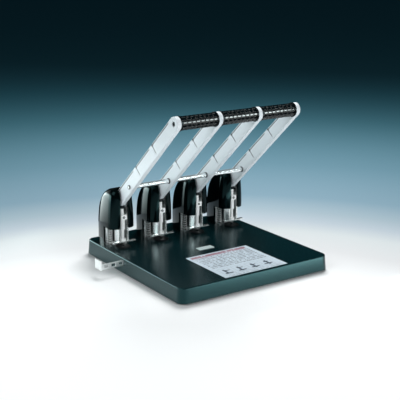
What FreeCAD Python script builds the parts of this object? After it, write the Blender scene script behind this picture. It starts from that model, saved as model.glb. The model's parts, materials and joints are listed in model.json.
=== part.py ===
import FreeCAD, Part
import math
import os

# Four-head lever paper punch, in millimetres. X runs along the row of heads, Y to the back
# and Z up. The origin is on the table, in the middle of the footprint with the paper guide
# pulled out. Heights named *_over_tray are measured from the tray's top face. The heads and
# levers are drawn with Y counted back from the row of pins, and moved there when saved.

# Fits
running_gap = 0.05
seat_gap = 0.02
free_gap = 0.5

# How far a cut runs past the face that it opens
past = 1.0

# Tray, cover and feet
tray_left_margin = 30.0
tray_right_margin = 34.5
tray_depth = 320.0
tray_height = 25.7
tray_wall = 2.0
tray_corner_radius = 13.0
tray_flare = 2.2
tray_edge_radius = 2.2
foot_height = 2.5
foot_radius = 9.0
foot_edge = 0.6
foot_stem_radius = 3.0
foot_stem_height = 3.5
foot_inset = 26.0
cover_thickness = 1.8
cover_rail_gap = 0.7
cover_rim_wall = 1.6

# Row of heads
head_count = 4
head_pitch = 80.0
pin_row_inset = 81.0
throat_height = 11.0

# Punch pins and dies
pin_radius = 3.1
pin_tip_rise = 1.5
pin_tip_notch = 1.2
die_radius = 14.0
die_height = 2.5
die_edge = 0.6
die_spigot_radius = 7.5
die_spigot_length = 3.0
chip_hole_radius = 4.2
cap_radius = 5.0
cap_height = 5.0
cap_overlap = 1.6
cap_edge = 0.6
cap_lever_gap = 0.6

# Frames
plate_thickness = 2.5
plate_inner_half = 7.5
frame_front_y = -8.5
frame_hood_gap = 1.8
front_leg_depth = 19.5
rear_leg_front_y = 23.0
frame_lug_gap = 1.3
frame_top_front_y = 1.0
notch_gap = 3.5
frame_top_over_tray = 94.0
stop_die_gap = 0.2
stop_height = 8.5
flange_hood_gap = 1.5
flange_thickness = 2.0
front_flange_half_width = 21.5
front_flange_depth = 5.5
guide_bush_radius = 6.0
guide_bush_height = 5.0
wing_thickness = 2.0
wing_height = 55.0

# Springs that lift the crossheads
spring_plate_gap = 0.3
spring_outer_radius = 2.9
spring_wire_radius = 0.5
spring_turns = 12
spring_post_radius = 1.5
spring_post_height = 31.0
spring_post_edge = 0.7

# Crossheads on the pins
crosshead_bottom_over_tray = 52.0
crosshead_height = 8.6
crosshead_right = 6.1
crosshead_left = 5.0
crosshead_front_y = -6.5
crossbar_height = 6.0
crossbar_depth = 7.0
crossbar_end = 0.9
crossbar_leg_gap = 0.5
sleeve_radius = 4.75
sleeve_bottom_over_tray = 33.0
clamp_screw_head_radius = 2.2
clamp_screw_head_height = 1.2
clamp_screw_radius = 1.25
clamp_slot_width = 0.6
clamp_slot_depth = 0.6

# Hoods
hood_wall = 2.2
hood_half_width = 25.0
hood_front_y = -9.0
hood_rear_y = 70.5
hood_front_corner = 16.5
hood_taper_y = 10.0
hood_side_y = 37.0
hood_side_draw = 3.0
hood_rear_corner_y = 60.0
hood_rear_corner_draw = 9.0
hood_arch_y = 3.0
hood_arch_over_tray = 46.0
hood_back_draft = 5.4
hood_front_top_radius = 13.0
hood_crown_radius = 13.0
hood_side_rise = 46.0
hood_side_lean = 8.0
hood_slot_half = 8.0
hood_slot_rear_y = 8.0
hood_window_height = 36.5
hood_window_rear_y = 26.0
hood_lug_half = 6.0
hood_lug_depth = 12.0
hood_lug_height = 3.0

# Levers
pivot_y = 22.0
pivot_over_tray = 80.0
pivot_radius = 4.0
hinge_pin_end = 2.5
hinge_spacer_wall = 2.5
lever_eye_radius = 13.0
lever_thickness = 8.6
lever_half_width = 13.0
lever_end_radius = 11.75
lever_pivot_offset = 6.05
lever_underside_drop = 2.0
lever_web = 3.0
lever_cheek = 2.1
lever_pocket_start = 22.0
lever_pocket_end = 196.0
handle_y = -178.0
handle_over_tray = 250.7
tie_along = 194.0
tie_across = 3.9

# Handle and tie rods
handle_shaft_radius = 4.0
handle_recess_depth = 2.4
handle_screw_head_radius = 3.1
handle_screw_head_height = 1.9
handle_screw_radius = 1.5
handle_screw_length = 9.0
grip_radius = 11.4
collar_radius = 12.4
collar_thickness = 2.2
tie_rod_radius = 4.0
tie_bolt_radius = 2.5
tie_head_radius = 3.6
tie_head_height = 1.8
tie_washer_radius = 5.0
tie_washer_thickness = 1.2

# Screws from below
frame_bolt_x = 15.0
frame_bolt_y = 32.0
frame_bolt_radius = 2.5
frame_bolt_head_radius = 4.5
frame_bolt_head_height = 3.0
hood_screw_radius = 1.9
hood_screw_head_radius = 3.6
hood_screw_head_height = 2.4
screw_hole_gap = 0.25
socket_across = 3.0
socket_depth = 1.4

# Pull-out paper guide and its rail
guide_reach = 44.0
guide_y = 25.0
guide_thickness = 1.5
guide_height = 10.0
guide_top_under_tray = 3.7
guide_length = 170.0
guide_plate_depth = 20.0
guide_plate_rise = 2.4
guide_plate_drop = 1.0
guide_bend_radius = 1.0
guide_window_width = 8.0
guide_window_height = 5.0
guide_window_pitch = 14.0
guide_window_count = 9
rail_wall = 2.0
rail_length = 96.0
rail_gap = 0.3
skirt_slot_side = 3.0

# Label and badge on the tray
label_width = 129.0
label_depth = 118.0
label_x = 0.25
label_front_inset = 4.5
label_thickness = 0.3
badge_width = 31.0
badge_depth = 13.0
badge_x = -3.75
badge_y = -8.5
badge_thickness = 0.8

# Places that follow from the sizes
tray_width = (head_count - 1) * head_pitch + tray_left_margin + tray_right_margin
tray_left = (guide_reach - tray_width - tray_flare) / 2
tray_x = tray_left + tray_width / 2
tray_bottom = foot_height
tray_top = foot_height + tray_height
tray_under = tray_top - tray_wall
pin_row_y = tray_depth / 2 - pin_row_inset
head_x = [tray_left + tray_left_margin + head_pitch * n for n in range(head_count)]
cover_rim_height = tray_height - guide_top_under_tray - guide_height - rail_gap - rail_wall - cover_rail_gap

hood_arch_centre = (hood_arch_y, hood_arch_over_tray)
hood_arch_radius = hood_rear_y - hood_back_draft - hood_arch_y
hood_side_mid = (hood_half_width - hood_side_draw, hood_side_y)
hood_rear_corner = (hood_half_width - hood_rear_corner_draw, hood_rear_corner_y)
hood_lug_rear_y = hood_rear_y - hood_wall
hood_lug_front_y = hood_lug_rear_y - hood_lug_depth
hood_screw_y = hood_lug_rear_y - hood_lug_depth / 2

plate_outer_half = plate_inner_half + plate_thickness
plate_front_y = hood_front_y + hood_wall + frame_hood_gap
frame_rear_y = hood_lug_front_y - frame_lug_gap
flange_half_width = hood_half_width - hood_wall - flange_hood_gap
stop_y = math.sqrt(die_radius ** 2 - plate_inner_half ** 2) + stop_die_gap

crosshead_z = tray_top + crosshead_bottom_over_tray
crosshead_rear_y = rear_leg_front_y - crossbar_leg_gap
clamp_screw_z = crosshead_z + crosshead_height / 2
notch_top_over_tray = crosshead_bottom_over_tray + crossbar_height + notch_gap
spring_x = plate_outer_half + spring_plate_gap + spring_outer_radius
spring_y = crosshead_rear_y - crossbar_depth / 2
crossbar_half = spring_x + spring_outer_radius + crossbar_end

lever_half = lever_thickness / 2
first_lever_face = head_x[0] - lever_half
last_lever_face = head_x[-1] + lever_half
pivot_z = tray_top + pivot_over_tray
handle_z = tray_top + handle_over_tray
lever_reach = math.hypot(pivot_y - handle_y, handle_z - pivot_z)
lever_angle = math.asin((handle_z - pivot_z) / lever_reach) + math.asin(lever_pivot_offset / lever_reach)
lever_underside_z = pivot_z - lever_underside_drop
cap_top_z = lever_underside_z - cap_lever_gap
cap_bottom_z = cap_top_z - cap_height
pin_top_z = cap_bottom_z + cap_overlap
pin_tip_z = tray_top + throat_height + pin_tip_rise


def vec(x, y, z):
    return FreeCAD.Vector(x, y, z)


def on_plan(p):
    return vec(p[0], p[1], 0)


def on_side(p):
    return vec(0, p[0], p[1])


def on_front(p):
    return vec(p[0], 0, p[1])


def block(x0, x1, y0, y1, z0, z1):
    return Part.makeBox(x1 - x0, y1 - y0, z1 - z0, vec(x0, y0, z0))


def rod_x(radius, x0, x1, y, z):
    return Part.makeCylinder(radius, x1 - x0, vec(x0, y, z), vec(1, 0, 0))


def rod_y(radius, x, y0, y1, z):
    return Part.makeCylinder(radius, y1 - y0, vec(x, y0, z), vec(0, 1, 0))


def rod_z(radius, x, y, z0, z1):
    return Part.makeCylinder(radius, z1 - z0, vec(x, y, z0), vec(0, 0, 1))


def outline(place, points):
    """Closed face: a pair of numbers is a straight run's end, a pair of pairs an arc's middle and end."""
    edges = []
    here = points[0]
    for move in points[1:]:
        if isinstance(move[0], tuple):
            via, there = move
            edges.append(Part.Arc(place(here), place(via), place(there)).toShape())
        else:
            there = move
            edges.append(Part.LineSegment(place(here), place(there)).toShape())
        here = there
    if here != points[0]:
        edges.append(Part.LineSegment(place(here), place(points[0])).toShape())
    return Part.Face(Part.Wire(edges))


def turn(centre, radius, degrees):
    """Point on a circle, with the angle counted from the first axis to the second."""
    angle = math.radians(degrees)
    return (centre[0] + radius * math.cos(angle), centre[1] + radius * math.sin(angle))


def rounded_ring(half_x, half_y, radius, z):
    """Wire of a rounded rectangle at height z, centred on the tray."""
    places = [(half_x - radius, radius - half_y, -90), (half_x - radius, half_y - radius, 0),
              (radius - half_x, half_y - radius, 90), (radius - half_x, radius - half_y, 180)]
    points = []
    for x, y, start in places:
        centre = (tray_x + x, y)
        points.append(turn(centre, radius, start))
        points.append((turn(centre, radius, start + 45), turn(centre, radius, start + 90)))
    ring = outline(on_plan, points).OuterWire
    ring.translate(vec(0, 0, z))
    return ring


def tray_form(inset, z0, z1):
    """The tray's flared outline, drawn in by the inset, from height z0 to z1."""
    rings = []
    for z in (z0, z1):
        spread = tray_flare * (tray_top - z) / tray_height - inset
        rings.append(rounded_ring(tray_width / 2 + spread, tray_depth / 2 + spread,
                                  tray_corner_radius + spread, z))
    return Part.makeLoft(rings, True, True)


def cover_form(inset, z0, z1):
    """Upright form that clears the tray's skirt at the cover rim's top, drawn in by the inset."""
    spread = tray_flare * (tray_height - cover_rim_height) / tray_height - tray_wall - free_gap - inset
    rings = [rounded_ring(tray_width / 2 + spread, tray_depth / 2 + spread, tray_corner_radius + spread, z)
             for z in (z0, z1)]
    return Part.makeLoft(rings, True, True)


def socket(x, y, z, direction):
    """Hexagonal key socket, cut along the direction from its mouth."""
    radius = socket_across / math.sqrt(3)
    along = vec(*direction)
    first = vec(0, 0, 1) if abs(direction[2]) < 1 else vec(1, 0, 0)
    second = along.cross(first)
    corners = []
    for k in range(7):
        angle = math.radians(60 * k)
        corners.append(vec(x, y, z) + (first * math.cos(angle) + second * math.sin(angle)) * radius)
    return Part.Face(Part.makePolygon(corners)).extrude(along * socket_depth)


def rims(shape, z):
    """Round edges that lie flat at height z."""
    level = [e for e in shape.Edges if e.BoundBox.ZLength < seat_gap]
    return [e for e in level if abs(e.BoundBox.ZMin - z) < seat_gap]


def mirrored(shape, x):
    return shape.mirror(vec(x, 0, 0), vec(1, 0, 0))


def save(node, shapes, y=0):
    """Write one node, moved back by y: a single solid, or a group of separate ones."""
    if isinstance(shapes, list):
        shape = Part.makeCompound(shapes)
    else:
        shape = shapes.Solids[0] if len(shapes.Solids) == 1 else shapes
    shape.translate(vec(0, y, 0))
    assert shape.isValid(), node
    shape.exportStep("parts/%s.step" % node)
    print("%-20s solids %d volume %.1f" % (node, len(shape.Solids), shape.Volume))


# Tray and what it stands on

def base_tray():
    outer = tray_form(0, tray_bottom, tray_top)
    rim = [e for e in outer.Edges if min(v.Z for v in e.Vertexes) > tray_top - seat_gap]
    outer = outer.makeFillet(tray_edge_radius, rim)
    tray = outer.cut(tray_form(tray_wall, tray_bottom - past, tray_under))
    holes = []
    for x in head_x:
        places = [(die_spigot_radius + seat_gap, x, 0),
                  (frame_bolt_radius + screw_hole_gap, x - frame_bolt_x, frame_bolt_y),
                  (frame_bolt_radius + screw_hole_gap, x + frame_bolt_x, frame_bolt_y),
                  (hood_screw_radius + screw_hole_gap, x, hood_screw_y)]
        holes += [rod_z(radius, hole_x, pin_row_y + y, tray_under - past, tray_top + past)
                  for radius, hole_x, y in places]
    bar_top = tray_top - guide_top_under_tray
    holes.append(block(tray_left - tray_flare - past, tray_left + tray_wall + past, guide_y - skirt_slot_side,
                       guide_y + guide_thickness + skirt_slot_side,
                       bar_top - guide_height - free_gap, bar_top + free_gap))
    return tray.cut(Part.makeCompound(holes))


def foot_places():
    half_x = tray_width / 2 - foot_inset
    half_y = tray_depth / 2 - foot_inset
    return [(tray_x + sx * half_x, sy * half_y) for sx in (-1, 1) for sy in (-1, 1)]


def chip_cover():
    cover = cover_form(0, tray_bottom, tray_bottom + cover_rim_height)
    inside = cover_form(cover_rim_wall, tray_bottom + cover_thickness, tray_bottom + cover_rim_height + past)
    cover = cover.cut(inside)
    cover_top = tray_bottom + cover_thickness
    stems = [rod_z(foot_stem_radius + seat_gap, x, y, tray_bottom - past, cover_top + past)
             for x, y in foot_places()]
    return cover.cut(Part.makeCompound(stems))


def rubber_feet():
    feet = []
    for x, y in foot_places():
        pad = rod_z(foot_radius, x, y, 0, foot_height)
        pad = pad.makeChamfer(foot_edge, rims(pad, 0))
        stem = rod_z(foot_stem_radius, x, y, foot_height, foot_height + foot_stem_height)
        feet.append(pad.fuse(stem).removeSplitter())
    return feet


def label():
    front = -tray_depth / 2 + label_front_inset
    x0 = tray_x + label_x - label_width / 2
    return block(x0, x0 + label_width, front, front + label_depth, tray_top, tray_top + label_thickness)


def badge():
    x0 = tray_x + badge_x - badge_width / 2
    y0 = badge_y - badge_depth / 2
    return block(x0, x0 + badge_width, y0, y0 + badge_depth, tray_top, tray_top + badge_thickness)


# One head at a time: frame, die, bush, springs and hood

def side_plate():
    """Outline of one frame plate: leg over the throat, notch for the crossbar, rear leg and stop toe."""
    front_leg_rear_y = frame_front_y + front_leg_depth
    reach = hood_arch_radius - hood_wall - 2 * free_gap
    top_angle = math.degrees(math.asin((frame_top_over_tray - hood_arch_over_tray) / reach))
    rear_angle = math.degrees(math.acos((frame_rear_y - hood_arch_y) / reach))
    middle = turn(hood_arch_centre, reach, (top_angle + rear_angle) / 2)
    return outline(on_side, [
        (plate_front_y, throat_height), (plate_front_y, pivot_over_tray),
        (frame_top_front_y, frame_top_over_tray),
        turn(hood_arch_centre, reach, top_angle), (middle, turn(hood_arch_centre, reach, rear_angle)),
        (frame_rear_y, 0), (stop_y, 0), (stop_y, stop_height), (rear_leg_front_y, stop_height),
        (rear_leg_front_y, notch_top_over_tray), (front_leg_rear_y, notch_top_over_tray),
        (front_leg_rear_y, throat_height)])


def frame(x):
    face = side_plate()
    pieces = []
    for x0 in (x - plate_outer_half, x + plate_inner_half):
        plate = face.extrude(vec(plate_thickness, 0, 0))
        plate.translate(vec(x0, 0, tray_top))
        pieces.append(plate)
    throat_z = tray_top + throat_height
    leg_rear_y = frame_front_y + front_leg_depth
    pieces.append(block(x - plate_outer_half, x + plate_outer_half, frame_front_y, leg_rear_y,
                        throat_z, throat_z + flange_thickness))
    pieces.append(block(x - front_flange_half_width, x + front_flange_half_width, frame_front_y,
                        frame_front_y + front_flange_depth, throat_z, throat_z + flange_thickness))
    for side in (-1, 1):
        wing = block(plate_outer_half, flange_half_width, rear_leg_front_y,
                     rear_leg_front_y + wing_thickness, 0, wing_height)
        wing.translate(vec(x, 0, tray_top))
        pieces.append(wing if side > 0 else mirrored(wing, x))
    tongue_half = spring_x + spring_outer_radius + free_gap
    tongue_y = spring_y - spring_outer_radius - free_gap
    floor_top = tray_top + flange_thickness
    pieces.append(block(x - tongue_half, x + tongue_half, tongue_y, rear_leg_front_y, tray_top, floor_top))
    floor = block(x - flange_half_width, x + flange_half_width, rear_leg_front_y, frame_rear_y,
                  tray_top, floor_top)
    pieces.append(floor.common(hood_form(x, hood_wall + free_gap)))
    whole = pieces[0].multiFuse(pieces[1:])
    holes = [rod_x(pivot_radius + seat_gap, x - plate_outer_half - past, x + plate_outer_half + past,
                   pivot_y, pivot_z),
             rod_z(guide_bush_radius + seat_gap, x, 0,
                   throat_z - past, throat_z + flange_thickness + past)]
    for side in (-1, 1):
        holes.append(rod_z(frame_bolt_radius + seat_gap, x + side * frame_bolt_x, frame_bolt_y,
                           tray_top - past, floor_top + past))
        holes.append(rod_z(spring_post_radius + seat_gap, x + side * spring_x, spring_y,
                           tray_top - past, floor_top + past))
    return whole.cut(Part.makeCompound(holes)).removeSplitter()


def die(x):
    disc = rod_z(die_radius, x, 0, tray_top, tray_top + die_height)
    disc = disc.makeChamfer(die_edge, rims(disc, tray_top + die_height))
    spigot = rod_z(die_spigot_radius, x, 0, tray_top - die_spigot_length, tray_top)
    whole = disc.fuse(spigot)
    bore = rod_z(pin_radius + running_gap, x, 0, tray_top - past, tray_top + die_height + past)
    chip_hole = rod_z(chip_hole_radius, x, 0, tray_top - die_spigot_length - past, tray_top - die_edge)
    return whole.cut(bore).cut(chip_hole).removeSplitter()


def guide_bush(x):
    z0 = tray_top + throat_height
    bush = rod_z(guide_bush_radius, x, 0, z0, z0 + guide_bush_height)
    return bush.cut(rod_z(pin_radius + running_gap, x, 0, z0 - past, z0 + guide_bush_height + past))


def spring_post(x):
    z0 = tray_top
    post = rod_z(spring_post_radius, x, spring_y, z0, z0 + spring_post_height)
    return post.makeFillet(spring_post_edge, rims(post, z0 + spring_post_height))


def coil(x):
    """Round wire on a helix, from the frame's base flange to the crossbar's underside."""
    low = tray_top + flange_thickness + spring_wire_radius + seat_gap
    high = crosshead_z - spring_wire_radius - seat_gap
    mean_radius = spring_outer_radius - spring_wire_radius
    helix = Part.makeHelix((high - low) / spring_turns, high - low, mean_radius)
    section = Part.Wire([Part.Circle(vec(mean_radius, 0, 0), vec(0, 1, 0), spring_wire_radius).toShape()])
    spring = Part.Wire(helix.Edges).makePipeShell([section], True, True)
    spring.translate(vec(x, spring_y, low))
    return spring


def hood_form(x, inset):
    """Hood's outer form moved inwards by inset: plan, side arch and rounded crown cut by each other."""
    half = hood_half_width - inset
    front = hood_front_y + inset
    corner = hood_front_corner - inset
    side = (hood_side_mid[0] - inset, hood_side_mid[1])
    rear = (hood_rear_corner[0] - inset, hood_rear_corner[1] - inset / 2)
    front_right = (half - corner, front + corner)
    front_left = (-front_right[0], front_right[1])
    front_start = (front_left[0], front)
    plan = outline(on_plan, [front_start, (front_right[0], front),
                             (turn(front_right, corner, -45), (half, front_right[1])), (half, hood_taper_y),
                             (side, rear), ((0, hood_rear_y - inset), (-rear[0], rear[1])),
                             ((-side[0], side[1]), (-half, hood_taper_y)), (-half, front_left[1]),
                             (turn(front_left, corner, -135), front_start)])
    height = hood_arch_centre[1] + hood_arch_radius + hood_wall
    plan = plan.extrude(vec(0, 0, height))
    top_radius = hood_front_top_radius - inset
    arch = hood_arch_radius - inset
    top_y = hood_front_y + hood_front_top_radius
    top_z = hood_arch_centre[1] + math.sqrt((hood_arch_radius - hood_front_top_radius) ** 2
                                            - (top_y - hood_arch_centre[0]) ** 2)
    top = (top_y, top_z)
    join = math.degrees(math.atan2(top[1] - hood_arch_centre[1], top[0] - hood_arch_centre[0]))
    arch_end = turn(hood_arch_centre, arch, 0)
    profile = outline(on_side, [(front, 0), (front, top_z),
                                (turn(top, top_radius, (180 + join) / 2), turn(top, top_radius, join)),
                                (turn(hood_arch_centre, arch, join / 2), arch_end),
                                (hood_rear_y - inset, 0)])
    profile = profile.extrude(vec(2 * hood_half_width, 0, 0))
    profile.translate(vec(-hood_half_width, 0, 0))
    crown = hood_crown_radius - inset
    crown_top = top_z + top_radius
    side_climb = crown_top + inset - hood_crown_radius - hood_side_rise
    side_reach = side_climb / math.sin(math.radians(hood_side_lean))
    side_radius = side_reach + crown
    right = (half - side_radius, hood_side_rise)
    crown_right = turn(right, side_reach, hood_side_lean)
    left = (-right[0], right[1])
    crown_left = (-crown_right[0], crown_right[1])
    side_turn = hood_side_lean / 2
    crown_turn = (90 + hood_side_lean) / 2
    ends = outline(on_front, [(half, 0), (half, hood_side_rise),
                              (turn(right, side_radius, side_turn),
                               turn(right, side_radius, hood_side_lean)),
                              (turn(crown_right, crown, crown_turn), (crown_right[0], crown_top)),
                              (crown_left[0], crown_top),
                              (turn(crown_left, crown, 180 - crown_turn),
                               turn(left, side_radius, 180 - hood_side_lean)),
                              (turn(left, side_radius, 180 - side_turn), (-half, hood_side_rise)),
                              (-half, 0)])
    ends = ends.extrude(vec(0, hood_rear_y - hood_front_y, 0))
    ends.translate(vec(0, hood_front_y, 0))
    form = plan.common(profile).common(ends)
    form.translate(vec(x, 0, tray_top))
    return form


def hood(x):
    shell = hood_form(x, 0).cut(hood_form(x, hood_wall))
    lug = block(x - hood_lug_half, x + hood_lug_half, hood_lug_rear_y - hood_lug_depth, hood_lug_rear_y,
                tray_top, tray_top + hood_lug_height)
    shell = shell.fuse(lug.common(hood_form(x, hood_wall / 2)))
    above = tray_top + hood_arch_centre[1] + hood_arch_radius + past
    slot_centre_y = hood_slot_rear_y - hood_slot_half
    slot = block(x - hood_slot_half, x + hood_slot_half, hood_front_y - past, slot_centre_y,
                 tray_top, above)
    slot_end = rod_z(hood_slot_half, x, slot_centre_y, tray_top + hood_window_height, above)
    window = block(x - hood_half_width - past, x + hood_half_width + past, hood_front_y - past,
                   hood_window_rear_y, tray_top - past, tray_top + hood_window_height)
    screw = rod_z(hood_screw_radius + seat_gap, x, hood_screw_y, tray_top - past,
                  tray_top + hood_lug_height + past)
    return shell.cut(slot.fuse(slot_end)).cut(window).cut(screw).removeSplitter()


# Punch pins and their crossheads

def punch_pin(x):
    """Pin with a shallow V across its cutting end."""
    pin = rod_z(pin_radius, x, 0, pin_tip_z, pin_top_z)
    edge = pin_radius + past
    notch = outline(on_side, [(-edge, pin_tip_z - past), (-pin_radius, pin_tip_z),
                              (0, pin_tip_z + pin_tip_notch), (pin_radius, pin_tip_z),
                              (edge, pin_tip_z - past)])
    notch = notch.extrude(vec(2 * edge, 0, 0))
    notch.translate(vec(x - edge, 0, 0))
    return pin.cut(notch)


def crosshead(x):
    """Clamp block on the pin, sleeve below it, and the bar that carries the springs' load."""
    top = crosshead_z + crosshead_height
    body = block(x - crosshead_left, x + crosshead_right, crosshead_front_y, sleeve_radius,
                 crosshead_z, top)
    sleeve = rod_z(sleeve_radius, x, 0, tray_top + sleeve_bottom_over_tray, crosshead_z)
    stem = block(x - crosshead_left, x + crosshead_left, 0, crosshead_rear_y,
                 crosshead_z, crosshead_z + crossbar_height)
    bar = block(x - crossbar_half, x + crossbar_half, crosshead_rear_y - crossbar_depth, crosshead_rear_y,
                crosshead_z, crosshead_z + crossbar_height)
    whole = body.multiFuse([sleeve, stem, bar])
    bore = rod_z(pin_radius + seat_gap, x, 0, tray_top + sleeve_bottom_over_tray - past, top + past)
    tapped = rod_y(clamp_screw_radius + seat_gap, x, crosshead_front_y - past, -pin_radius,
                   clamp_screw_z)
    return whole.cut(bore).cut(tapped).removeSplitter()


def clamp_screw(x):
    head_y = crosshead_front_y - clamp_screw_head_height
    stem = rod_y(clamp_screw_radius, x, crosshead_front_y, -pin_radius - running_gap, clamp_screw_z)
    head = rod_y(clamp_screw_head_radius, x, head_y, crosshead_front_y, clamp_screw_z)
    slot = block(x - clamp_screw_head_radius, x + clamp_screw_head_radius,
                 head_y - past, head_y + clamp_slot_depth,
                 clamp_screw_z - clamp_slot_width / 2, clamp_screw_z + clamp_slot_width / 2)
    return stem.fuse(head).cut(slot).removeSplitter()


def press_cap(x):
    """Cap on the pin's head: the lever's nose bears on its flat top."""
    cap = rod_z(cap_radius, x, 0, cap_bottom_z, cap_top_z)
    cap = cap.makeFillet(cap_edge, rims(cap, cap_top_z))
    return cap.cut(rod_z(pin_radius + seat_gap, x, 0, cap_bottom_z - past, pin_top_z))


# Levers, handle and tie rods

def lever_point(along, across):
    """Point on the lever's side: along runs from the handle down to the hood, across to the front."""
    y = handle_y + along * math.cos(lever_angle) - across * math.sin(lever_angle)
    z = handle_z - along * math.sin(lever_angle) - across * math.cos(lever_angle)
    return (y, z)


tie_y, tie_z = lever_point(tie_along, tie_across)


def lever(x):
    """Channel open to the rear, from the rounded handle end down to the eye round the hinge pin."""
    half_rise = lever_half_width * math.cos(lever_angle)
    low_front = (handle_z - half_rise - lever_underside_z) / math.sin(lever_angle)
    low_rear = (handle_z + half_rise - pivot_z) / math.sin(lever_angle)
    round_end = (lever_point(-lever_end_radius, 0), lever_point(0, lever_end_radius))
    bar = outline(on_side, [lever_point(0, -lever_end_radius), round_end,
                            lever_point(low_front, lever_half_width), (pivot_y, lever_underside_z),
                            (pivot_y, pivot_z), lever_point(low_rear, -lever_half_width)])
    bar = bar.extrude(vec(lever_thickness, 0, 0))
    bar.translate(vec(x - lever_half, 0, 0))
    x0 = x - lever_half
    x1 = x + lever_half
    eye = rod_x(lever_eye_radius, x0, x1, pivot_y, pivot_z)
    floor = lever_half_width - lever_web
    open_side = -2 * lever_half_width
    pocket = outline(on_side, [lever_point(lever_pocket_start, floor), lever_point(lever_pocket_end, floor),
                               lever_point(lever_pocket_end, open_side),
                               lever_point(lever_pocket_start, open_side)])
    pocket = pocket.extrude(vec(lever_thickness - 2 * lever_cheek, 0, 0))
    pocket.translate(vec(x0 + lever_cheek, 0, 0))
    holes = [rod_x(pivot_radius + running_gap, x0 - past, x1 + past, pivot_y, pivot_z),
             rod_x(tie_bolt_radius + seat_gap, x0 - past, x1 + past, tie_y, tie_z),
             rod_x(handle_shaft_radius + seat_gap, x0 - past, x1 + past, handle_y, handle_z)]
    return bar.fuse(eye).cut(pocket).cut(Part.makeCompound(holes)).removeSplitter()


def handle_shaft():
    x0 = first_lever_face + handle_recess_depth
    x1 = last_lever_face - handle_recess_depth
    shaft = rod_x(handle_shaft_radius, x0, x1, handle_y, handle_z)
    depth = handle_screw_length + past
    taps = [rod_x(handle_screw_radius + seat_gap, x0 - past, x0 + depth, handle_y, handle_z),
            rod_x(handle_screw_radius + seat_gap, x1 - depth, x1 + past, handle_y, handle_z)]
    return shaft.cut(Part.makeCompound(taps))


def handle_screws():
    middle = (head_x[0] + head_x[-1]) / 2
    x0 = first_lever_face + handle_recess_depth
    head = rod_x(handle_screw_head_radius, x0 - handle_screw_head_height, x0, handle_y, handle_z)
    stem = rod_x(handle_screw_radius, x0, x0 + handle_screw_length, handle_y, handle_z)
    key = socket(x0 - handle_screw_head_height, handle_y, handle_z, (1, 0, 0))
    screw = head.fuse(stem).cut(key).removeSplitter()
    return [screw, mirrored(screw, middle)]


def gaps_between_levers():
    return [(left + lever_half, right - lever_half) for left, right in zip(head_x, head_x[1:])]


def grip(gap):
    sleeve = rod_x(grip_radius, gap[0] + collar_thickness, gap[1] - collar_thickness, handle_y, handle_z)
    return sleeve.cut(rod_x(handle_shaft_radius + running_gap, gap[0], gap[1], handle_y, handle_z))


def grip_collars():
    collars = []
    for x0, x1 in gaps_between_levers():
        for low in (x0, x1 - collar_thickness):
            ring = rod_x(collar_radius, low, low + collar_thickness, handle_y, handle_z)
            bore = rod_x(handle_shaft_radius + running_gap, low - past, low + collar_thickness + past,
                         handle_y, handle_z)
            collars.append(ring.cut(bore))
    return collars


def tie_rod(gap):
    rod = rod_x(tie_rod_radius, gap[0], gap[1] - tie_washer_thickness, tie_y, tie_z)
    return rod.cut(rod_x(tie_bolt_radius + seat_gap, gap[0] - past, gap[1] + past, tie_y, tie_z))


def tie_washers():
    washers = []
    for x0, x1 in gaps_between_levers():
        ring = rod_x(tie_washer_radius, x1 - tie_washer_thickness, x1, tie_y, tie_z)
        washers.append(ring.cut(rod_x(tie_bolt_radius + seat_gap, x0, x1 + past, tie_y, tie_z)))
    return washers


def tie_bolt():
    bolt = rod_x(tie_bolt_radius, first_lever_face, last_lever_face, tie_y, tie_z)
    head = rod_x(tie_head_radius, first_lever_face - tie_head_height, first_lever_face, tie_y, tie_z)
    nut = rod_x(tie_head_radius, last_lever_face, last_lever_face + tie_head_height, tie_y, tie_z)
    key = socket(first_lever_face - tie_head_height, tie_y, tie_z, (1, 0, 0))
    return bolt.multiFuse([head, nut]).cut(key).removeSplitter()


def hinge_pin(x):
    half = plate_outer_half + hinge_pin_end
    return rod_x(pivot_radius, x - half, x + half, pivot_y, pivot_z)


def hinge_spacers(x):
    """Rings that keep the lever midway between the frame's plates."""
    rings = []
    outer = pivot_radius + hinge_spacer_wall
    reach = lever_half + running_gap
    for x0, x1 in ((x - plate_inner_half, x - reach), (x + reach, x + plate_inner_half)):
        ring = rod_x(outer, x0, x1, pivot_y, pivot_z)
        rings.append(ring.cut(rod_x(pivot_radius + running_gap, x0 - past, x1 + past, pivot_y, pivot_z)))
    return rings


# Screws from below the tray

def cap_screw(x, y, radius, head_radius, head_height, top):
    head = rod_z(head_radius, x, y, tray_under - head_height, tray_under)
    stem = rod_z(radius, x, y, tray_under, top)
    return head.fuse(stem).cut(socket(x, y, tray_under - head_height, (0, 0, 1))).removeSplitter()


def frame_bolts():
    places = [x + side * frame_bolt_x for x in head_x for side in (-1, 1)]
    return [cap_screw(x, frame_bolt_y, frame_bolt_radius, frame_bolt_head_radius, frame_bolt_head_height,
                      tray_top + flange_thickness) for x in places]


def hood_screws():
    return [cap_screw(x, hood_screw_y, hood_screw_radius, hood_screw_head_radius, hood_screw_head_height,
                      tray_top + hood_lug_height) for x in head_x]


# Paper guide

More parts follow.
